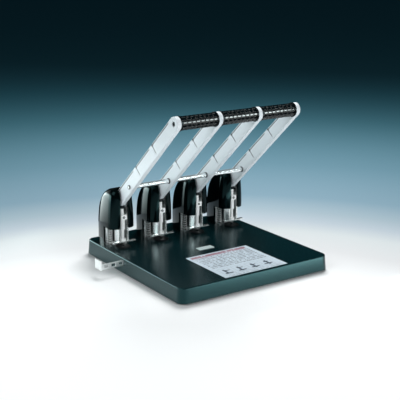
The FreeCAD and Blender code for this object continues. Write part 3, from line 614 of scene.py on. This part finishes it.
def springs(n):
    """Two coils: a wire's circle carried along a helix, with its ends closed on the last ring."""
    low, high = low_corner("return_springs_%d" % n), high_corner("return_springs_%d" % n)
    steps = SPRING_TURNS * SPRING_STEPS_IN_TURN + 1
    turn = np.linspace(0, 2 * math.pi * SPRING_TURNS, steps)[:, None]
    rise = np.linspace(low[2] + SPRING_WIRE, high[2] - SPRING_WIRE, steps)[:, None]
    section = np.radians(np.arange(0, 360, SPRING_FACET))[None, :]
    radius = SPRING_RADIUS + SPRING_WIRE * np.cos(section)
    sheets = []
    for side in (-1, 1):
        x = head_x[n] + side * SPRING_X + radius * np.cos(turn)
        y = (low + high)[1] / 2 + radius * np.sin(turn)
        z = rise + SPRING_WIRE * np.sin(section)
        points = net(x, y, z)
        ends = points[[0, -1]].mean(1, keepdims=True) + 0 * points[[0, -1]]
        sheets.append(sheet(np.concatenate([ends[:1], points, ends[1:]]), ring=True))
    made = piece("return_coils_%d" % n, sheets, sharp=60.0)
    place(made, "root", "spring_steel", "return_springs_%d" % n)
    length = (high - low)[2]
    travel = joint("punch_%d_stroke" % n)["range_m"][1] / METRE
    (length - travel) / length
    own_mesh(made)
    return made


# Finishes, with colours in linear light

BRIGHT, DULL = (0.84, 0.87, 0.87), (0.55, 0.60, 0.61)
OXIDE, WORN = (0.018, 0.022, 0.024), (0.05, 0.055, 0.06)
GROUND, GROUND_STAIN = (0.95, 0.97, 0.97), (0.75, 0.80, 0.81)
CHROME, CHROME_STAIN = (0.90, 0.95, 0.96), (0.74, 0.79, 0.81)
SATIN_BLACK, GLOSS_BLACK = (0.0005, 0.009, 0.011), (0.0002, 0.0015, 0.0018)
GRIP_BLACK, COVER_BLACK, RUBBER_BLACK = (0.0005, 0.002, 0.003), (0.03, 0.03, 0.032), (0.02, 0.02, 0.02)
TIE_RING, CLAMP_RING = (0.003, 0.005, 0.006), (0.004, 0.006, 0.007)
# The last colour here is painted shade for the lever's grooves.
SILVER_DARK, SILVER_PALE, GROOVE_SHADE = (0.67, 0.735, 0.775), (0.76, 0.81, 0.84), (0.01, 0.018, 0.022)
PAPER, PAPER_SHADE = (0.60, 0.69, 0.76), (0.54, 0.64, 0.72)
INK, ROSE = (0.02, 0.035, 0.06), (0.26, 0.03, 0.07)
BADGE_DARK, BADGE_PALE, BADGE_INK = (0.62, 0.74, 0.74), (0.78, 0.88, 0.88), (0.10, 0.14, 0.14)
BLACK_TINT = (0.42, 0.95, 1.0, 1.0)
# Painted shade in the lever's grooves: half-widths over seams and notches and the width beside the rear
# line, in millimetres, and how dark the seams are.
SEAM_SHADE, NOTCH_SHADE, LINE_SHADE = 0.9, 1.7, 0.35
SEAM_SHADE_SHARE = 0.85
PAD_ROUGHNESS, GAP_ROUGHNESS_MORE = 0.12, 0.25


class Signal:
    """A socket of a finish. Arithmetic on it adds Math nodes."""

    def __init__(self, finish, socket):
        self.finish = finish
        self.socket = socket

    def math(self, operation, *terms):
        """A Math node of that operation on the terms."""
        return self.finish.node("ShaderNodeMath", {"operation": operation}, dict(enumerate(terms)))

    def __add__(self, other):
        return self.math("ADD", self, other)

    __radd__ = __add__

    def __sub__(self, other):
        return self.math("SUBTRACT", self, other)

    def __rsub__(self, other):
        return self.math("SUBTRACT", other, self)

    def __mul__(self, other):
        return self.math("MULTIPLY", self, other)

    __rmul__ = __mul__

    def __truediv__(self, other):
        return self.math("DIVIDE", self, other)

    def above(self, limit, blur):
        """1 where the value is above the limit, over a blur of that width."""
        return ((self - limit) / blur + 0.5).clamped()

    def clamped(self):
        """The value kept between 0 and 1."""
        return self.math("MINIMUM", self.math("MAXIMUM", self, 0.0), 1.0)

    def lower(self, other):
        """The smaller of the two values."""
        return self.math("MINIMUM", self, other)

    def higher(self, other):
        """The larger of the two values."""
        return self.math("MAXIMUM", self, other)

    def fraction(self):
        """The value's part after the point, so that a pattern repeats at each whole number."""
        return self.math("FRACT", self)


class Finish:
    """A material with one Principled shader and the nodes that feed it."""

    def __init__(self, name, colour, roughness, **constants):
        self.material = bpy.data.materials.new(name)
        self.material.use_nodes = True
        self.tree = self.material.node_tree
        self.tree.nodes.clear()
        self.shader = self.tree.nodes.new("ShaderNodeBsdfPrincipled")
        output = self.tree.nodes.new("ShaderNodeOutputMaterial")
        self.tree.links.new(self.shader.outputs[0], output.inputs[0])
        self.shader.inputs["Base Color"].default_value = (*colour, 1)
        self.shader.inputs["Roughness"].default_value = roughness
        for socket, value in constants.items():
            self.shader.inputs[socket.replace("_", " ")].default_value = value
        self.place = self.node("ShaderNodeTexCoord", output="Object")

    def feed(self, socket, value):
        """Links a signal to the socket, or sets its plain value."""
        if isinstance(value, Signal):
            self.tree.links.new(value.socket, socket)
        else:
            socket.default_value = value

    def node(self, kind, settings=None, inputs=None, output=0):
        """A node of that kind, with its settings first and then its sockets' values or links."""
        made = self.tree.nodes.new(kind)
        for key, value in (settings or {}).items():
            if key == "stops":
                ramp = made.color_ramp.elements
                while len(ramp) < len(value):
                    ramp.new(1.0)
                for element, (position, colour) in zip(ramp, value):
                    element.position = position
                    element.color = (*colour, 1)
            else:
                setattr(made, key, value)
        for key, value in (inputs or {}).items():
            self.feed(made.inputs[key], value)
        return Signal(self, made.outputs[output])

    def axes(self):
        """X, Y and Z of the place, in millimetres."""
        split = self.node("ShaderNodeSeparateXYZ", inputs={0: self.place}).socket.node
        return [Signal(self, split.outputs[k]) * 1000.0 for k in range(3)]

    def noise(self, size, detail=2.0, roughness=0.5, stretch=(1, 1, 1)):
        """Noise from 0 to 1 whose blobs are about size millimetres wide, stretched along axes."""
        scale = tuple(1.0 / s for s in stretch)
        where = self.node("ShaderNodeMapping", {"vector_type": "POINT"},
                          {"Vector": self.place, "Scale": scale})
        return self.node("ShaderNodeTexNoise", inputs={"Vector": where, "Scale": 1000.0 / size,
                                                       "Detail": detail, "Roughness": roughness})

    def mix(self, factor, a, b):
        """Colour a where factor is 0 and b where it is 1."""
        a, b = ((*c, 1) if isinstance(c, tuple) else c for c in (a, b))
        return self.node("ShaderNodeMix", {"data_type": "RGBA"}, {0: factor, 6: a, 7: b}, output=2)

    def colour(self, value):
        """Base colour, which varies over the surface."""
        self.feed(self.shader.inputs["Base Color"], value)

    def roughness(self, value):
        """Roughness, which varies over the surface."""
        self.feed(self.shader.inputs["Roughness"], value)

    def bump(self, height, distance):
        """Relief from a height of 0 to 1, where 1 stands distance millimetres high."""
        normal = self.node("ShaderNodeBump", inputs={"Height": height, "Distance": distance * METRE})
        self.feed(self.shader.inputs["Normal"], normal)


def enamel(name, colour, roughness, index, peel):
    """Stoved black enamel: faint orange peel, uneven gloss and a few specks of dust.

    The index sets how much of the room shows in it.
    """
    made = Finish(name, colour, roughness, IOR=index, Specular_Tint=BLACK_TINT)
    fine, broad = made.noise(0.9, 2.0), made.noise(22.0, 3.0)
    specks = made.noise(1.1, 4.0, 0.7).above(0.74, 0.05)
    dusty = tuple(c * 2 + 0.002 for c in colour)
    made.colour(made.mix(specks * 0.5 + (broad * 0.5 + fine * 0.2) * 0.4, colour, dusty))
    made.roughness(roughness + broad * 0.03 + specks * 0.1)
    made.bump(made.noise(2.6, 1.0), peel)
    return made


def plate(name, colour, stain, roughness, metallic, grain, stretch=(1, 1, 1), depth=0.004):
    """Plated or ground steel: fine streaks along the working direction and cloudy stains."""
    made = Finish(name, colour, roughness, Metallic=metallic)
    streaks, clouds = made.noise(grain, 3.0, 0.6, stretch), made.noise(9.0, 3.0)
    stained = (streaks - 0.45).clamped() * 0.8 + (clouds - 0.5).clamped() * 0.7
    made.colour(made.mix(stained, colour, stain))
    made.roughness(roughness + streaks * 0.08 + clouds * 0.05)
    made.bump(streaks, depth)
    return made


def along_lever(made):
    """Along and across on the lever at rest, from the handle's axis, as lever_point has them."""
    _, y, z = made.axes()
    y, z = y - handle[0], z - handle[1]
    along = y * math.cos(lever_angle) - z * math.sin(lever_angle)
    across = y * -math.sin(lever_angle) - z * math.cos(lever_angle)
    return along, across


def band(value, low, high, blur):
    """1 between two limits, with edges of blur millimetres."""
    return value.above(low, blur) * (1 - value.above(high, blur))


def satin_silver():
    """Silver enamel on the levers: fine metal flake, soft mottling, and painted shade in the lines and
    seams.

    Along and across give the distance from the rear edge, and the seams lean with it as they do in the
    lever's side. Each band of painted shade is as wide as its groove, with a little beside it.
    """
    made = Finish("satin silver enamel", SILVER_PALE, 0.42, Specular_IOR_Level=0.2)
    flake, broad = made.noise(0.35, 2.0, 0.7), made.noise(26.0, 3.0)
    along, across = along_lever(made)
    taper = (LEVER_HALF_WIDTH - LEVER_END_RADIUS) / nose_along
    from_rear = across + along * taper + LEVER_END_RADIUS
    low, high = LEVER_LINE
    shown = band(along, *LEVER_LINE_ENDS, 0.5)
    # Painted shade: a dark band over each seam, notch and the rear line, where the grooves fall into
    # shadow.
    groove_shade = None
    for seam in LEVER_SEAMS:
        at = along + from_rear * LEVER_SEAM_LEAN - seam
        shown = shown * (1 - band(at, 0.0, LEVER_LINE_BREAK, 0.4))
        groove = band(at, -SEAM_SHADE, SEAM_SHADE, 0.5) * (1 - from_rear.above(LEVER_SEAM_REACH, 5.0))
        notch = band(at, -NOTCH_SHADE, NOTCH_SHADE, 0.5) * (1 - from_rear.above(LEVER_NOTCH_REACH, 1.0))
        dark = (groove * SEAM_SHADE_SHARE).higher(notch)
        groove_shade = dark if groove_shade is None else groove_shade.higher(dark)
    groove_shade = groove_shade.higher(band(from_rear, low - LINE_SHADE, high + LINE_SHADE, 0.3) * shown)
    clean = made.mix(flake * 0.5 + broad * 0.5, SILVER_DARK, SILVER_PALE)
    # The painted shade darkens the clean silver.
    made.colour(made.mix(groove_shade, clean, GROOVE_SHADE))
    made.roughness(0.38 + flake * 0.08 + broad * 0.08)
    made.bump(flake, 0.008)
    return made


def moulded(name, colour, roughness, grain, depth):
    """Moulded plastic or rubber: pebbled skin with a slow change of sheen."""
    made = Finish(name, colour, roughness)
    pebble, broad = made.noise(grain, 2.0, 0.6), made.noise(14.0, 3.0)
    lighter = tuple(c * 1.6 + 0.001 for c in colour)
    made.colour(made.mix(pebble * 0.4 + broad * 0.4, colour, lighter))
    made.roughness(roughness + pebble * 0.1 + broad * 0.08)
    made.bump(pebble, depth)
    return made


def padded_grip():
    """Moulded black grip: smooth pads, and rough gaps that lie nearer to the handle's axis.

    The square of the distance from the axis tells pads from gaps.
    """
    made = moulded("moulded grip", GRIP_BLACK, PAD_ROUGHNESS, 0.5, 0.002)
    _, y, z = made.axes()
    y, z = y - handle[0], z - handle[1]
    pad = grip_radius - GRIP_PAD_RISE * GRIP_PAD_SHOULDER
    raised = (y * y + z * z).above(pad * pad, 2.0)
    made.roughness(PAD_ROUGHNESS + made.noise(14.0, 3.0) * 0.05 + (1 - raised) * GAP_ROUGHNESS_MORE)
    return made


def bolt_heads(name, axis, centres, ring, dark, bright):
    """Steel heads with a dark ring between two radii round their axes, and a bright crown.

    The nearest centre counts, and squares of distances are compared.
    """
    made = Finish(name, bright, 0.2, Metallic=0.4)
    first, second = [made.axes()[k] for k in axis]
    near = None
    for a, b in centres:
        away = (first - a) * (first - a) + (second - b) * (second - b)
        near = away if near is None else near.lower(away)
    low, high = ring
    shade = band(near, low * low, high * high, 1.5)
    made.colour(made.mix(shade * 0.9 + made.noise(1.5, 2.0) * 0.1, bright, dark))
    made.roughness(0.25 + shade * 0.3 + made.noise(2.0, 2.0) * 0.1)
    return made


def rectangle(x, y, x0, x1, y0, y1):
    """1 inside a printed rectangle, with edges as soft as ink on paper."""
    return band(x, x0, x1, PRINT_BLUR) * band(y, y0, y1, PRINT_BLUR)


def label_figure(u, v, left, right, k):
    """Outline frame round figure k, with a bar, a stem and an arm that shift a little with k."""
    low, high = FIGURE_FRAME
    outer = rectangle(u, v, left, right, low, high)
    inner = rectangle(u, v, left + FIGURE_LINE, right - FIGURE_LINE, low + FIGURE_LINE, high - FIGURE_LINE)
    bar = rectangle(u, v, left + FIGURE_BAR_IN, right - FIGURE_BAR_IN, *(edge + k for edge in FIGURE_BAR))
    stem = rectangle(u, v, *(left + edge + k for edge in FIGURE_STEM), *FIGURE_STEM_HEIGHT)
    arm = rectangle(u, v, left + FIGURE_STEM[0], right - FIGURE_ARM_IN - k, *FIGURE_ARM)
    return ((outer - inner) * 0.6).higher(bar).higher(stem).higher(arm)


def printed_label():
    """Laminated card: a heading of bold dashes, ruled rows of dashes, and plain outline figures.

    Rows are the fraction of the height over a row's pitch, and noise stretched along X breaks
    them into dashes.
    """
    low, (wide, deep, _) = low_corner("instruction_label"), extent("instruction_label")
    made = Finish("printed card", PAPER, 0.35, Coat_Weight=0.4, Coat_Roughness=0.15)
    x, y, _ = made.axes()
    u, v = x - low[0], y - low[1]
    colour = made.mix(made.noise(30.0, 2.0) * 0.5, PAPER, PAPER_SHADE)
    bold = made.noise(4.5, 1.0, 0.5, (1, 3, 1)).above(0.40, 0.08)
    heading = rectangle(u, v, LABEL_HEADING_LEFT, wide - LABEL_MARGIN,
                        *(deep - drop for drop in LABEL_HEADING_IN)) * bold
    colour = made.mix(heading * 0.8, colour, ROSE)
    dash = made.noise(3.4, 1.0, 0.5, (1, 2.6, 1)).above(0.45, 0.1)
    rows = band((v / LABEL_ROW_PITCH).fraction(), *LABEL_ROW_SHARE, 0.08) * dash
    text = rectangle(u, v, LABEL_MARGIN, wide - LABEL_MARGIN, LABEL_TEXT_FROM, deep - LABEL_TEXT_IN)
    foot = rectangle(u, v, LABEL_MARGIN, wide - LABEL_MARGIN, *LABEL_FOOT)
    colour = made.mix((rows * text + rows * foot) * 0.9, colour, INK)
    panel = (wide - 2 * FIGURE_MARGIN) / FIGURES
    for k in range(FIGURES):
        left = FIGURE_MARGIN + k * panel
        figure = label_figure(u, v, left, left + panel - FIGURE_GAP, k)
        colour = made.mix(figure * 0.95, colour, INK)
    made.colour(colour)
    made.roughness(0.3 + made.noise(6.0, 2.0) * 0.12)
    made.bump(made.noise(1.2, 2.0), 0.01)
    return made


def badge():
    """Pale anodised plate with a dark border line and rows of plain ticks."""
    low, (wide, deep, _) = low_corner("badge_plate"), extent("badge_plate")
    made = Finish("anodised badge", BADGE_DARK, 0.35, Metallic=0.3)
    x, y, _ = made.axes()
    u, v = x - low[0], y - low[1]
    brushed = made.noise(0.3, 2.0, 0.6, (30, 1, 1))
    outer, inner = (rectangle(u, v, edge, wide - edge, edge, deep - edge) for edge in BADGE_BORDER)
    rows = band((v / BADGE_ROW_PITCH).fraction(), *BADGE_ROW_SHARE, 0.1)
    side, end = BADGE_TICKS_IN
    ticks = rows * made.noise(2.2, 1.0, 0.5, (1, 2, 1)).above(0.5, 0.1)
    ticks = ticks * rectangle(u, v, side, wide - side, end, deep - end)
    metal = made.mix(brushed, BADGE_DARK, BADGE_PALE)
    made.colour(made.mix(((outer - inner) * 0.5).higher(ticks * 0.4), metal, BADGE_INK))
    made.roughness(0.3 + brushed * 0.15)
    return made


def finish_nodes(finish, *names):
    """Puts the finish on the named nodes, which keep their own solids."""
    for name in names:
        for slot in nodes[name].material_slots:
            slot.material = finish.material


def numbered(*stems):
    """Names of the nodes that each head has one of."""
    return ["%s_%d" % (stem, n) for stem in stems for n in HEADS]


# Pieces

tie_centre = middle("tie_bolt")[1:]
clamp_z = middle("clamp_screw_1")[2]
clamp_centres = [(x, clamp_z) for x in head_x.values()]

black = enamel("satin black enamel", SATIN_BLACK, roughness=0.24, index=1.5, peel=0.003)
gloss = enamel("gloss black enamel", GLOSS_BLACK, roughness=0.06, index=1.22, peel=0.002)
nickel = plate("bright nickel plate", BRIGHT, DULL, 0.24, metallic=0.75, grain=0.5, stretch=(1, 1, 9))
plated = plate("frame plate", BRIGHT, DULL, 0.18, metallic=0.9, grain=0.5, stretch=(1, 1, 9))
ground = plate("ground steel", GROUND, GROUND_STAIN, 0.25, metallic=0.1, grain=0.4, stretch=(6, 6, 1))
oxide = plate("black oxide", OXIDE, WORN, 0.34, metallic=1.0, grain=0.8)
wire = plate("spring wire", GROUND, BRIGHT, 0.25, metallic=0.1, grain=0.6)
chrome = plate("polished chrome", CHROME, CHROME_STAIN, 0.16, metallic=0.8, grain=0.6, stretch=(12, 1, 1),
               depth=0.0006)
silver = satin_silver()
tie_heads = bolt_heads("tie bolt heads", (1, 2), [tie_centre], (2.2, 4.2), TIE_RING, BRIGHT)
clamp_heads = bolt_heads("clamp screw heads", (0, 2), clamp_centres, (1.0, 2.6), CLAMP_RING, DULL)
grip_skin = padded_grip()
cover_skin = moulded("moulded cover", COVER_BLACK, 0.55, grain=0.7, depth=0.05)
rubber = moulded("foot rubber", RUBBER_BLACK, 0.75, grain=0.9, depth=0.06)

finish_nodes(black, "base_tray")
finish_nodes(cover_skin, "chip_cover")
finish_nodes(rubber, "rubber_feet")
finish_nodes(printed_label(), "instruction_label")
finish_nodes(badge(), "badge_plate")
finish_nodes(nickel, "guide_rail", "hinge_spacers", "paper_guide")
finish_nodes(plated, *numbered("frame"))
finish_nodes(ground, "guide_bushes", *numbered("punch_pin", "crosshead"))
finish_nodes(oxide, "spring_posts", "hinge_pins", "frame_bolts", "hood_screws", "handle_screws",
             "grip_collars", "tie_washers", *numbered("die", "press_cap"))
finish_nodes(clamp_heads, *numbered("clamp_screw"))
finish_nodes(tie_heads, "tie_bolt")
finish_nodes(chrome, "handle_shaft", *["tie_rod_%d" % n for n in GAPS])

for n in HEADS:
    hood(n).data.materials.append(gloss.material)
    lever(n).data.materials.append(silver.material)
    springs(n).data.materials.append(wire.material)
for n in GAPS:
    grip(n).data.materials.append(grip_skin.material)


# Floor, lamps, studio cards and camera. Lamps, floor and camera are in metres, cards in millimetres

FLOOR_PALE = (0.93, 0.94, 0.945)
FLOOR_RINGS = [0, 0.5, 1, 2, 4, 8, 16, 30.0]
FLOOR_REACH = 3.0
FLOOR_CENTRE = (-0.28, -0.41, 0.0)
# Painted light and shade on the floor: its colour falls from pale to dim teal with distance from
# FLOOR_CENTRE.
FLOOR_SHADE_FALL = [(0.42, FLOOR_PALE), (0.62, (0.61, 0.62, 0.63)), (0.72, (0.55, 0.59, 0.60)),
              (0.79, (0.40, 0.46, 0.51)), (0.86, (0.30, 0.38, 0.43)), (0.98, (0.185, 0.285, 0.35)),
              (1.30, (0.125, 0.235, 0.295)), (1.95, (0.07, 0.20, 0.255)), (2.55, (0.05, 0.19, 0.25))]
TEAL = (0.88, 1.0, 1.0)
CARD_BLACK = (0.001, 0.001, 0.001)
WORLD_COLOUR = (0.012, 0.03, 0.036, 1)
CAMERA_PLACE = (-0.87855, -1.3118, 0.5509)
CAMERA_LENS = 84.0
CAMERA_DIP = 15.35
CAMERA_TURN = 34.17


def floor():
    """Level disc whose colour is painted light and shade: pale round the punch, falling off to a dim teal
    far away.
    """
    ring = np.radians(np.arange(0, 360, 3))[None, :]
    radius = np.array(FLOOR_RINGS)[:, None] / METRE
    points = net(radius * np.cos(ring), radius * np.sin(ring), 0 * ring)
    made = piece("studio_floor", [sheet(points, ring=True)])
    if made.data.polygons[0].normal.z < 0:
        made.data.flip_normals()
    look = Finish("studio floor with painted falloff", FLOOR_PALE, 0.7, Specular_IOR_Level=0.15)
    away = look.node("ShaderNodeVectorMath", {"operation": "DISTANCE"}, {0: look.place, 1: FLOOR_CENTRE},
                     output="Value")
    stops = [(metres / FLOOR_REACH, colour) for metres, colour in FLOOR_SHADE_FALL]
    look.colour(look.node("ShaderNodeValToRGB", {"stops": stops}, {0: away / FLOOR_REACH}))
    made.data.materials.append(look.material)


def lamp(name, place, target, size, watts, colour=(1, 1, 1)):
    """Square-cornered area lamp that points from its place to its target."""
    data = bpy.data.lights.new(name, "AREA")
    data.shape = "RECTANGLE"
    data.size, data.size_y = size
    data.energy = watts
    data.color = colour
    made = bpy.data.objects.new(name, data)
    made.location = place
    made.rotation_euler = (Vector(target) - Vector(place)).to_track_quat("-Z", "Y").to_euler()
    made.visible_camera = False
    bpy.context.scene.collection.objects.link(made)
    return made


def arc(centre, radius, first, last):
    """Points of an arc on the floor, by degrees from its -X side towards its -Y side."""
    angle = np.radians(np.linspace(first, last, 25))
    return centre[0] - radius * np.cos(angle), centre[1] - radius * np.sin(angle)


def along_x(first, last, y):
    """The two ends of a line on the floor that runs along X."""
    return (first, last), (y, y)


def card(name, line, low, high, glow=None, strength=0.0, axis=2, span=None):
    """Upright studio card over a line on the floor, from one height to another.

    Only reflections show it. It is black, or it glows by a ramp's stops over a span along an
    axis, which is its height unless another is given.
    """
    x, y = (np.asarray(values, float)[:, None] for values in line)
    made = piece(name, [sheet(net(x, y, np.array([[low, high]], float)))])
    look = Finish(name, CARD_BLACK, 0.9, Specular_IOR_Level=0.0, Emission_Strength=strength)
    if glow:
        start, stop = span or (low, high)
        share = (look.axes()[axis] - start) / (stop - start)
        stops = [(at, tuple(level * c for c in TEAL)) for at, level in glow]
        look.feed(look.shader.inputs["Emission Color"],
                  look.node("ShaderNodeValToRGB", {"stops": stops}, {0: share}))
    made.data.materials.append(look.material)
    made.visible_camera = made.visible_diffuse = made.visible_shadow = False


floor()
card("rear_flag", along_x(-104, 440, 360), low=0, high=420, strength=0.06,
     glow=[(0.0, 0.0), (0.34, 0.0), (0.5, 1.0), (1.0, 1.0)])
card("rear_softbox", arc(centre=(-100, 110), radius=250, first=-86, last=-6), low=0, high=250,
     strength=12.5, glow=[(0.0, 0.09), (0.12, 0.2), (0.32, 0.45), (0.43, 1.0), (0.5, 0.8), (0.64, 0.08),
                          (1.0, 0.02)])
card("front_softbox", along_x(-60, 300, -250), low=0, high=27, strength=9.0, axis=0, span=(-60, 260),
     glow=[(0.0, 0.33), (1.0, 1.0)])
card("grip_softbox", along_x(180, 520, -600), low=330, high=450, strength=30.0, axis=0, span=(180, 520),
     glow=[(0.0, 0.35), (1.0, 1.0)])
card("grip_flag", along_x(-150, 420, -265), low=60, high=268)
overhead = lamp("rear_overhead", (0.55, 0.50, 1.30), target=(-0.1, -0.1, 0), size=(0.8, 0.7), watts=28.0)
overhead.visible_glossy = False
lamp("left_rear", (-1.10, 0.95, 0.36), target=(0, 0.05, 0.10), size=(1.3, 0.6), watts=6.0, colour=TEAL)
lamp("left_high", (-1.5, -0.3, 1.3), target=(0, 0, 0.15), size=(1.2, 1.2), watts=14.0)
lamp("front_fill", (0.4, -1.8, 0.42), target=(0, 0, 0.1), size=(1.2, 0.7), watts=19.0)

world = bpy.data.worlds.new("studio")
world.use_nodes = True
sky = world.node_tree.nodes["Background"].inputs
sky["Color"].default_value = WORLD_COLOUR
sky["Strength"].default_value = 1.0
bpy.context.scene.world = world
bpy.context.scene.view_settings.view_transform = "Standard"

camera = bpy.data.objects.new("camera", bpy.data.cameras.new("camera"))
camera.data.lens = CAMERA_LENS
camera.data.sensor_width = 36.0
camera.location = CAMERA_PLACE
camera.rotation_euler = (math.radians(90 - CAMERA_DIP), 0, math.radians(-CAMERA_TURN))
bpy.context.scene.collection.objects.link(camera)
bpy.context.scene.camera = camera
